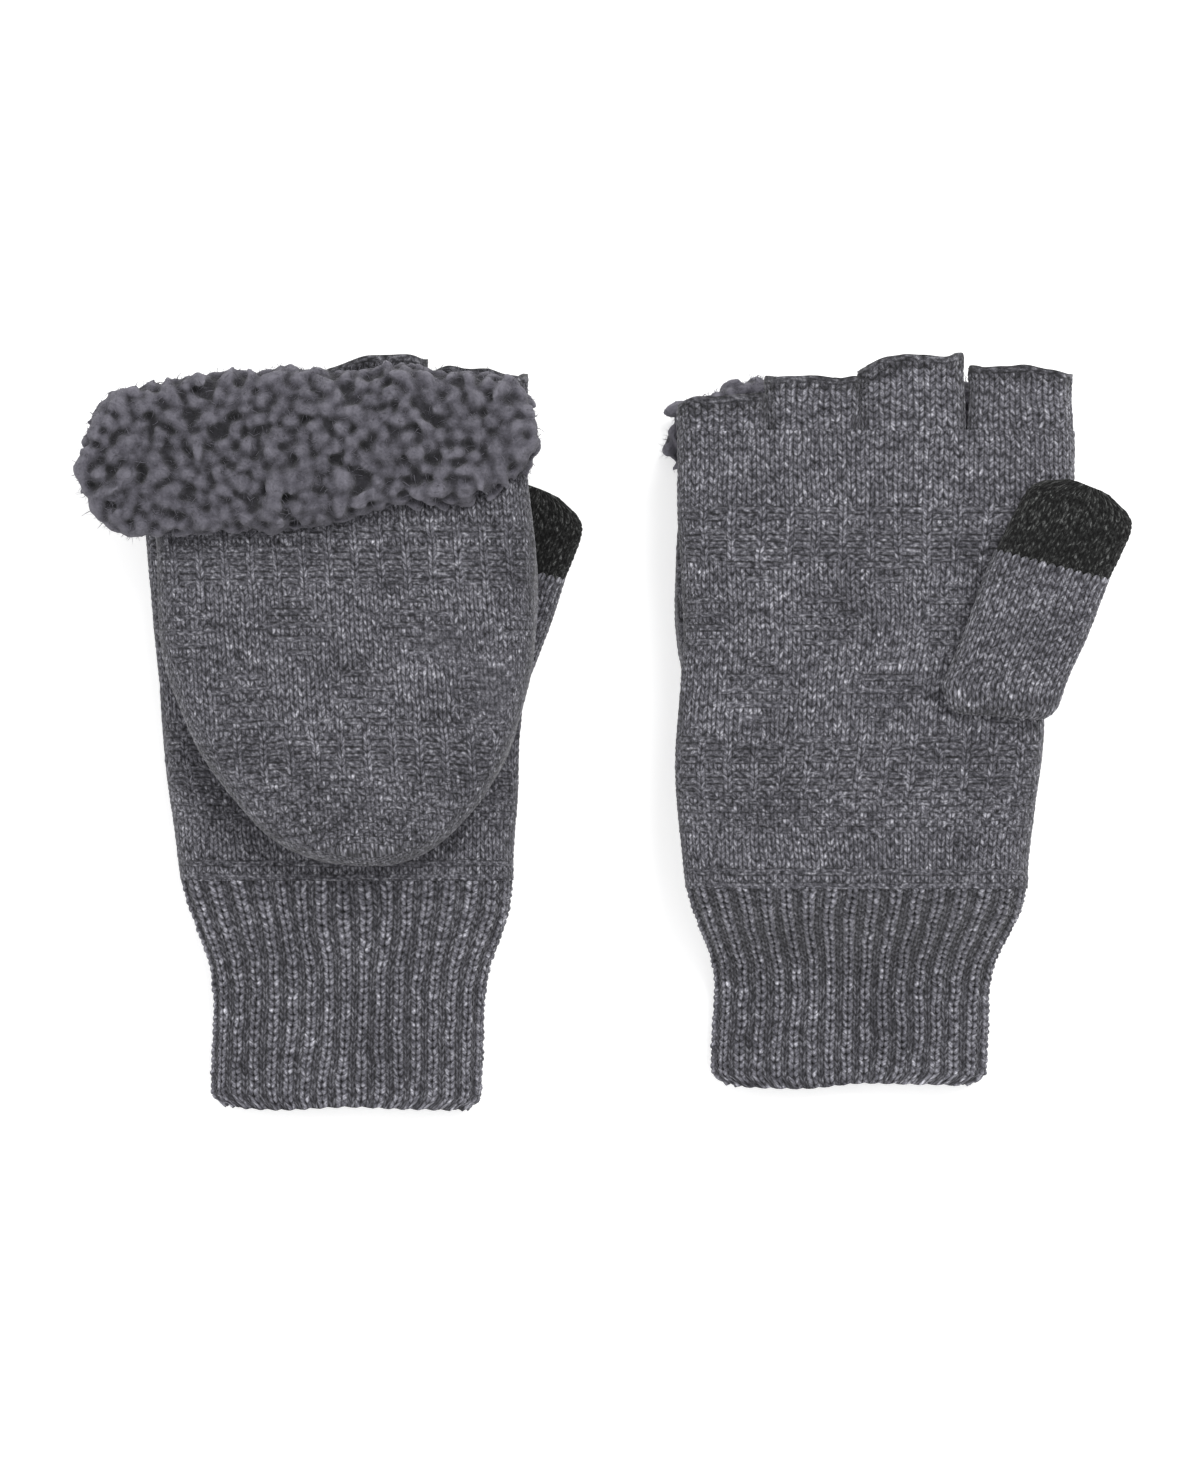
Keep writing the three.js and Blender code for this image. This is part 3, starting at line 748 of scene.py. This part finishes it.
for side in ("left", "right"):
    joint = next(j for j in frame["joints"] if j["name"] == f"{side}_thumb_lift")
    fold, axis = np.array(joint["pos_m"]), np.array(joint["axis"])
    tube = [thumb_section(f"{side}_thumb", fold, share) for share in TUBE_SHARES]
    bend = []
    for angle in FOLD_TURNS:
        corner = FOLD_CORNER * (1 - math.cos(math.radians(angle)))
        bend.append(narrowed(turned(tube[-1], fold, axis, math.radians(angle)), corner))
    sunk = bend[-1] + np.array([0, 0, SUNK if side == "left" else -SUNK])
    rings = softened(np.array([*tube, *bend, sunk]))
    piece = knitted_tube(
        f"{side}_thumb_knit", rings, THUMB_WALES, THUMB_ROWS, front_only, heather_knit,
        fine=(6, 4), teeth=TEETH
    )
    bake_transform(piece)
    stands_for(piece, None, f"{side}_thumb", f"{side}_thumb_gusset")

    rings = []
    for share in TIP_SHARES:
        by = corner_cut(TIP_CORNER, (TIP_SHARES[0] - share) * THUMB_LENGTH) * TIP_TAPER
        rings.append(narrowed(thumb_section(f"{side}_thumb_tip", fold, share), by))
    rings = softened(np.array(rings), around=8, along=4)
    piece = knitted_tube(
        f"{side}_thumb_tip_knit", rings, wales=18, rows=66, purl=front_only, material=touch_knit,
        wall=0, fine=(5, 4), lift=sunk_in
    )
    stands_for(piece, f"{side}_thumb_part", f"{side}_thumb_tip", slot="touch_yarn")


# ------------------------------------------------------------------ flip-top caps
# Each cap is a knitted pouch with a round end, seamed to the back of the hand. The side with the pattern is
# the one that covers the fingertips. Its mouth opens as it flips; the cloth is one piece over both panels,
# baked in place, and does not bend with them.
CAP_ROUND = 77 * MM  # length of the rounded end
CAP_EDGE = 7 * MM  # rounding of the edge on the patterned side
BACK_EDGE = 3.2 * MM
SHELL = 1.8 * MM
DOME = 2.2 * MM  # how far the loose cloth stands up in the middle of the cap that lies on top
TACKED = 42 * MM  # down from the mouth: the part under the fleece, which lies flat
DOME_EDGE = 22 * MM
LOWEST = 0.1 * MM  # above the table: cap and pile lie on it
CAP_BANDS = [(18, 27, "ribs"), (27, 47, "diamonds"), (47, 55, "ribs"), (55, 70, "moss")]


def cap_shape(side):
    """The cap at heights from its mouth to its end: its middle, half-width and the level of its front."""
    node = f"{side}_cap_front_shell"
    low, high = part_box(node)
    heights = np.concatenate([[high.y], np.linspace(high.y - 1 * MM, low.y + 1.5 * MM, 70)])
    cuts = [np.array(list(cut(node, np.array([0, y, 0]), Y))) for y in heights[1:]]
    cuts = [cuts[0], *cuts]
    left = np.array([points[:, 0].min() for points in cuts])
    right = np.array([points[:, 0].max() for points in cuts])
    face = np.array([points[:, 2].max() if side == "left" else points[:, 2].min() for points in cuts])
    rounded = heights < low.y + CAP_EDGE
    face[rounded] = face[~rounded][-1]
    return heights, (left + right) / 2, (right - left) / 2, face


cap_shapes = {side: cap_shape(side) for side in ("left", "right")}


def pouch_columns(front, corner, straight, back):
    """The columns round a pouch, from the left side over the patterned front: how each takes its x and its
    level. Rows: share of the flat width, share of the corner, share of the front level, front and back
    roundings."""
    quarter = np.linspace(0, math.pi / 2, corner, endpoint=False)
    rise = np.linspace(0.5, 1, straight, endpoint=False)
    columns = []
    for level in rise:
        columns.append((-1, -1, level, -level, 1 - level))
    for turn in quarter:
        columns.append((-1, -math.cos(turn), 1, math.sin(turn) - 1, 0))
    for share in np.linspace(-1, 1, front):
        columns.append((share, 0, 1, 0, 0))
    for turn in quarter[::-1]:
        columns.append((1, math.cos(turn), 1, math.sin(turn) - 1, 0))
    for level in [*rise[::-1], *(1 - rise[1:])]:
        columns.append((1, 1, level, -level, 1 - level))
    for turn in quarter[::3]:
        columns.append((1, math.cos(turn), 0, 0, 1 - math.sin(turn)))
    for share in np.linspace(1, -1, back):
        columns.append((share, 0, 0, 0, 0))
    for turn in quarter[::-3]:
        columns.append((-1, -math.cos(turn), 0, 0, 1 - math.sin(turn)))
    for level in 1 - rise[:0:-1]:
        columns.append((-1, -1, level, -level, 1 - level))
    return np.array(columns).T[:, None, :]


def pouch(side, columns, rows, inset, end_inset, edges=None):
    """A closed surface of the cap's shape, `inset` from its outside: points, stitch coordinates and the
    share of its thickness left near the end."""
    flat, bend, front, front_edge, back_edge = columns
    edges = edges or (CAP_EDGE - inset, BACK_EDGE - inset)
    up = 1 if side == "left" else -1
    shell, back_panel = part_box(f"{side}_cap_front_shell"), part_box(f"{side}_cap_back_shell")
    heights, middle, half, face = cap_shapes[side]
    end = shell[0].y + end_inset
    start = end + CAP_ROUND
    mouth = back_panel[1].y + (shell[1].y - back_panel[1].y) * eased(front)
    straight = (mouth - start).mean()
    t = np.linspace(0, 1, rows)[:, None] * (straight + CAP_ROUND * math.pi / 2)
    turn = np.clip((t - straight) / CAP_ROUND, 0, math.pi / 2 - 0.006)
    y = np.where(t < straight, mouth + (start - mouth) * t / straight, start - CAP_ROUND * np.sin(turn))
    y = np.broadcast_to(y, (rows, columns.shape[2]))
    mid = np.interp(-y, -heights, middle)
    width = np.interp(-np.maximum(y, start), -heights, half) * np.cos(turn) - inset * np.cos(turn)
    edge = np.minimum(np.where(front > 0.5, edges[0], edges[1]), 0.8 * width)
    x = mid + flat * (width - edge) + bend * edge
    top = np.interp(-y, -heights, face) - up * inset
    bottom = (back_panel[0].z if up > 0 else back_panel[1].z) + up * inset
    near = np.clip((y - end) / edges[0], 0, 1)
    plump = np.sqrt(1 - (1 - near) ** 2)
    level = front * top + (1 - front) * bottom + up * (front_edge * edges[0] + back_edge * edges[1])
    z = (top + bottom) / 2 + (level - (top + bottom) / 2) * plump
    if side == "left":
        below = np.clip((shell[1].y - TACKED - y) / DOME_EDGE, 0, 1)
        z = z + DOME * (1 - flat ** 2) * (front == 1) * plump * eased(below)
    points = np.stack([x, y, z], axis=-1)
    off = x - mid
    down_side = np.sign(flat) * np.abs(level - top) * (bend != 0)
    u = (np.where(front > 0.3, off, 2 * width * np.sign(off) - off) + down_side) / WALE
    v = (heights[0] - y + np.abs(level - z)) / COURSE
    if up < 0:
        points, u, v, plump = (grid[:, ::-1] for grid in (points, u, v, plump))
    return points, np.stack([u, v], axis=-1), plump


def cap_pattern(wale, course):
    """The cap's pattern, counted from its mouth: the hand's bands again."""
    return banded(wale, course, (6, 7), CAP_BANDS)


def cup(name, outer, inner, uv, inner_uv, material, **marks):
    """A closed cup: an outer and an inner grid with the same columns, joined at the mouth. Inside, each
    mark is plain unless it is given for both grids."""
    whole = {}
    for mark, values in marks.items():
        outside, inside = values if isinstance(values, tuple) else (values, np.full(inner.shape[:2], PLAIN))
        whole[mark] = np.concatenate([inside[::-1], outside])
    ends = [inner[-1].mean(axis=0), outer[-1].mean(axis=0)]
    grid = np.concatenate([inner[::-1], outer])
    grid[..., 2] = np.maximum(grid[..., 2], LOWEST)
    return skin(name, grid, material, ends, np.concatenate([inner_uv[::-1], uv]), **whole)


def bend_at_mouth(piece, side, low_share, high_share):
    """Bakes the pouch's placing into its mesh. The levels between the back and front panels where it would
    stretch are worked out from the two shares but not used.
    """
    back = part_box(f"{side}_cap_back_shell")
    near = back[1].z if side == "left" else back[0].z
    far = cap_shapes[side][3][0]
    start = near + (far - near) * low_share
    end = near + (far - near) * high_share
    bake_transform(piece)


SHELL_COLUMNS = pouch_columns(front=196, corner=21, straight=9, back=50)
CAP_ROWS = 260
for side in ("left", "right"):
    base, uv, plump = pouch(side, SHELL_COLUMNS, CAP_ROWS, 0, 0)
    height, back, uv = stitched(uv[..., 0], uv[..., 1], cap_pattern)
    loose = waves(base[..., 0] + base[..., 2], base[..., 1] - base[..., 2])
    relief = (height - 1 + PURL_RISE * back) * RELIEF + loose - 0.5 * MM
    outer = base + outward(base) * (relief * np.clip(plump * 3, 0.3, 1))[..., None]
    every = np.linspace(0, CAP_ROWS - 1, 22).astype(int)
    within, inner_uv, _ = pouch(side, SHELL_COLUMNS, CAP_ROWS, SHELL, SHELL)
    within, inner_uv = within[every], inner_uv[every]
    piece = cup(f"{side}_cap_knit", outer, within, uv, inner_uv, heather_knit, depth=height, back=back)
    bend_at_mouth(piece, side, 0.05, 0.8)
    stands_for(piece, None, f"{side}_cap_back_shell", f"{side}_cap_front_shell")


# ------------------------------------------------------------------ fleece: cap lining and turned-out cuff
# Sherpa fleece lines the cap. At the mouth its edge is folded out over the knit and tacked down as a thick
# roll. The pile is curled tufts a few millimetres long that lie all ways, with deep clefts between them.
PILE = 4.6 * MM
SIDE_PILE = 2.4 * MM
GAP = 0.3 * MM
FIBRE = 0.055 * MM  # radius of one fibre
LOOSE_FIBRES = 4200
CALM_STEPS = (6, 48)  # rounds of smoothing that show up the small clefts and the large ones
DRAWN_IN = 2.5 * MM  # how much shorter the roll's core is at each end, so that its tufts have room


def scattered(points, spacing, pick, tries=9000):
    """Indices of points at least `spacing` apart, all over a surface."""
    chosen = []
    for k in pick.permutation(len(points))[:tries]:
        if not chosen or np.min(np.sum((points[chosen] - points[k]) ** 2, axis=1)) > spacing ** 2:
            chosen.append(k)
    return np.array(chosen)


def low_pile(points, seed):
    """Height of the pile inside the cap, 0 to 1, pressed flat: rounded tufts with clefts between them."""
    flat = points.reshape(-1, 3)
    pick = np.random.default_rng(seed)
    centres = flat[scattered(flat, 4.2 * MM, pick)]
    swell = pick.uniform(3.2, 5.0, len(centres)) * MM
    height = np.zeros(len(flat))
    for first in range(0, len(flat), 4000):
        gap = flat[first : first + 4000, None, :] - centres
        reach = np.sum(gap * gap, axis=2) / swell ** 2
        height[first : first + 4000] = np.sqrt(np.clip(1 - reach, 0, 1)).max(axis=1)
    return height.reshape(points.shape[:-1])


LINING_COLUMNS = pouch_columns(front=90, corner=6, straight=8, back=80)
for side in ("left", "right"):
    inset = SHELL + GAP
    outer, uv, _ = pouch(side, LINING_COLUMNS, 60, inset, inset)
    deep = inset + PILE
    inner, inner_uv, plump = pouch(side, LINING_COLUMNS, 120, deep, inset + SIDE_PILE, (1.5 * MM, 0.6 * MM))
    pile = low_pile(inner, 31)
    raised = inner + outward(inner) * ((0.7 - pile) * 1.6 * MM * plump)[..., None]
    # painted shade: the pile's height is kept as `depth`, which darkens the clefts between tufts
    depth = (np.full(outer.shape[:2], PLAIN), pile)
    piece = cup(f"{side}_cap_fleece", outer, raised, uv, inner_uv, fleece_pile, depth=depth)
    bend_at_mouth(piece, side, 0.1, 0.75)
    stands_for(piece, None, f"{side}_cap_back_lining", f"{side}_cap_front_lining", slot="fleece")


def tufts(base, spacing, seed):
    """Curled tufts on a surface, as rings of points: each a bent, lumpy grain that dips into the pile at
    its ends."""
    pick = np.random.default_rng(seed)
    flat, normal = base.reshape(-1, 3), outward(base).reshape(-1, 3)
    chosen = scattered(flat, spacing, pick)
    count = len(chosen)
    grown = pick.uniform(0, 1, count) ** 2
    out = normal[chosen]
    lie = pick.normal(size=(count, 3))
    lie -= out * np.sum(lie * out, axis=1, keepdims=True)
    lie /= np.linalg.norm(lie, axis=1, keepdims=True)
    lie += out * pick.uniform(0, 0.5, count)[:, None]
    lie /= np.linalg.norm(lie, axis=1, keepdims=True)
    side_way = np.cross(out, lie)
    side_way /= np.linalg.norm(side_way, axis=1, keepdims=True)
    rise = np.cross(lie, side_way)
    half = (3.2 + 3.8 * grown) * MM
    thick = pick.uniform(1.8, 2.5, count) * MM + 0.9 * grown * MM
    bend, curl_in = pick.uniform(-0.7, 0.7, count), pick.uniform(0.05, 0.6, count)
    lump = pick.uniform(0, 2 * math.pi, count)
    t = np.linspace(-1, 1, 9)[None, :]
    spine = lie[:, None] * (half[:, None] * t)[..., None]
    spine = spine + side_way[:, None] * ((bend * half)[:, None] * (t * t - 0.3))[..., None]
    spine = spine - rise[:, None] * ((curl_in * half)[:, None] * t * t)[..., None]
    girth = thick[:, None] * np.sqrt(1 - (0.985 * t) ** 2) * (1 + 0.16 * np.sin(4 * t + lump[:, None]))
    angle = np.arange(8) / 8 * 2 * math.pi
    ring = rise[:, None, None] * np.sin(angle)[:, None] * 0.72
    ring = ring + side_way[:, None, None] * np.cos(angle)[:, None]
    return flat[chosen][:, None, None] + spine[:, :, None] + girth[:, :, None, None] * ring


def fibres(points, normals, count, seed):
    """Single fibres that stand out of the pile: thin three-sided stalks of four rings, curling on the way."""
    pick = np.random.default_rng(seed)
    root = pick.integers(0, len(points), count)
    way = normals[root] + pick.normal(size=(count, 3)) * 0.75
    way /= np.linalg.norm(way, axis=1, keepdims=True)
    turn = np.cross(way, pick.normal(size=(count, 3)))
    third = np.cross(way, turn)
    length = pick.uniform(0.9, 2.6, count)[:, None] * MM
    stalks = []
    for step, girth in ((-0.15, 1), (0.3, 0.9), (0.7, 0.7), (1.0, 0.3)):
        middle = points[root] + way * length * step + turn * length * 0.35 * step * step
        for angle in (0, 2 * math.pi / 3, 4 * math.pi / 3):
            stalks.append(middle + (turn * math.cos(angle) + third * math.sin(angle)) * FIBRE * girth)
    return np.stack(stalks, axis=1).reshape(count, 4, 3, 3)


def closed_grains(grains):
    """Faces of many small closed shapes, each a few rings of points with a lid at both ends."""
    count, rings, around = grains.shape[:3]
    first = np.arange(count)[:, None, None] * rings * around
    row, column = np.arange(rings - 1)[:, None] * around, np.arange(around)
    beside = (column + 1) % around
    start = first + row
    ring = [start + column, start + beside, start + around + beside, start + around + column]
    walls = np.stack(ring, axis=-1).reshape(-1, 4)
    lids = first[:, 0] + column[::-1]
    far_lids = first[:, 0] + column + (rings - 1) * around
    return walls.tolist() + lids.tolist() + far_lids.tolist()


def joined(piece, grains):
    """The piece with many small shapes added to its mesh."""
    mesh = bpy.data.meshes.new("grains")
    mesh.from_pydata(grains.reshape(-1, 3).tolist(), [], closed_grains(grains))
    mesh.polygons.foreach_set("use_smooth", np.ones(len(mesh.polygons), bool))
    loose = bpy.data.objects.new("grains", mesh)
    bpy.context.collection.objects.link(loose)
    bpy.ops.object.select_all(action="DESELECT")
    loose.select_set(True)
    piece.select_set(True)
    bpy.context.view_layer.objects.active = piece
    bpy.ops.object.join()


def fleece_body(name, base, spacing, seed, voxel):
    """One closed body of core and tufts grown together, with a fine crimp. Low `depth` in its clefts paints
    shade.
    """
    ends = [base[0].mean(axis=0), base[-1].mean(axis=0)]
    core = skin(name, base - outward(base) * 0.8 * MM, fleece_pile, ends)
    joined(core, tufts(base, spacing, seed))
    grown = core.modifiers.new("grown_together", "REMESH")
    grown.mode = "VOXEL"
    grown.voxel_size = voxel
    grown.use_smooth_shade = True
    bpy.ops.object.modifier_apply(modifier=grown.name)
    crimped(core)
    core.data.materials.clear()
    core.data.materials.append(fleece_pile)
    return core


def crimped(piece):
    """Crimps the surface finely and marks how deep in the pile each point lies, as `depth` for painted shade
    in the clefts.
    """
    mesh = piece.data
    points = numbers(mesh.vertices, "co")
    normals = numbers(mesh.vertices, "normal")
    edges = numbers(mesh.edges, "vertices", int, 2)
    ends, others = np.concatenate([edges, edges[:, ::-1]]).T
    valence = np.bincount(ends, minlength=len(points))[:, None]
    calm = points.copy()
    hollow = np.zeros(len(points))
    for step in range(1, CALM_STEPS[-1] + 1):
        sums = [np.bincount(ends, weights=calm[others, axis], minlength=len(points)) for axis in range(3)]
        calm = np.stack(sums, axis=1) / valence
        if step in CALM_STEPS:
            hollow += np.clip(np.sum((points - calm) * normals, axis=1) / (0.9 * MM * step ** 0.3), -1, 1)
    planes = ((0, 1), (1, 2), (2, 0))
    grit = sum(drift(points[:, m], points[:, n], 1.2 * MM, 20 + m) for m, n in planes) / 3
    folds = sum(np.abs(drift(points[:, m], points[:, n], 2.7 * MM, 30 + n) - 0.5) for m, n in planes) / 1.5
    points += normals * ((grit - 0.5) * 0.8 * MM + (folds - 0.6) * 1.0 * MM)[:, None]
    points[:, 2] = np.maximum(points[:, 2], LOWEST)
    mesh.vertices.foreach_set("co", points.ravel())
    # painted shade: points in clefts and hollows get a low depth, which darkens their colour
    depth = np.clip(0.64 + 0.5 * hollow + 0.2 * (folds - 0.5), 0, 1)
    mesh.update()
    stalks = fibres(points, normals, LOOSE_FIBRES, seed=63)
    stalks[..., 2] = np.maximum(stalks[..., 2], LOWEST)
    joined(piece, stalks)
    depth = np.concatenate([depth, np.full(stalks[..., 0].size, 0.85)]).astype(np.float32)
    piece.data.attributes.new("depth", "FLOAT", "POINT").data.foreach_set("value", depth)


for side in ("left", "right"):
    node = f"{side}_fleece_cuff"
    low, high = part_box(node)
    closer = 0.5 - 0.5 * np.cos(np.linspace(0.1, math.pi - 0.1, 40))
    stations = low.x + (high.x - low.x) * closer
    rings = softened(np.array([section(node, (x, 0, 0), X, Y) for x in stations]), around=24)
    base = curve_through(rings, np.linspace(0, len(rings) - 1, 150), closed=False)
    where = np.linspace(0, RING, 120, endpoint=False)
    base = curve_through(base.transpose(1, 0, 2), where, closed=True).transpose(1, 0, 2)
    swell = (drift(base[..., 0], base[..., 1], 17 * MM, 8) - 0.5) * 3 * MM
    base = base + outward(base) * (swell - 0.6 * MM)[..., None]
    base[..., 0] += (1 - 2 * (base[..., 0] - low.x) / (high.x - low.x)) * DRAWN_IN
    if side == "left":
        height = (base[..., 1] - (low.y + high.y) / 2) / (high.y - low.y) * 2
        raised = 1.5 * MM + 3.5 * MM * (base[..., 0] - low.x) / (high.x - low.x)
        base[..., 1] += np.clip(height, 0, 1) * raised + np.clip(height, -1, 0) * 3.5 * MM
    piece = fleece_body(f"{side}_fleece_roll", base, spacing=3.9 * MM, seed=47, voxel=0.67 * MM)
    stands_for(piece, f"{side}_cap_front", node, slot="fleece")


# ------------------------------------------------------------------ hinge seams
# A rolled, overcast seam holds each cap to the back of the hand across the knuckles; the cap turns on it.
def overcast(wale, course):
    return (course % 3 == 0).astype(int)


for side in ("left", "right"):
    node = f"{side}_hinge_seam"
    low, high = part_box(node)
    stations = np.linspace(low.x + 0.1 * MM, high.x - 0.1 * MM, 30)
    rings = np.array([section(node, (x, 0, 0), X, Y) for x in stations])
    piece = knitted_tube(
        f"{side}_hinge_cord", rings, wales=5, rows=200, purl=overcast, material=heather_knit,
        wall=0, fine=(6, 6)
    )
    stands_for(piece, f"{side}_hand", node, slot="seam_yarn")
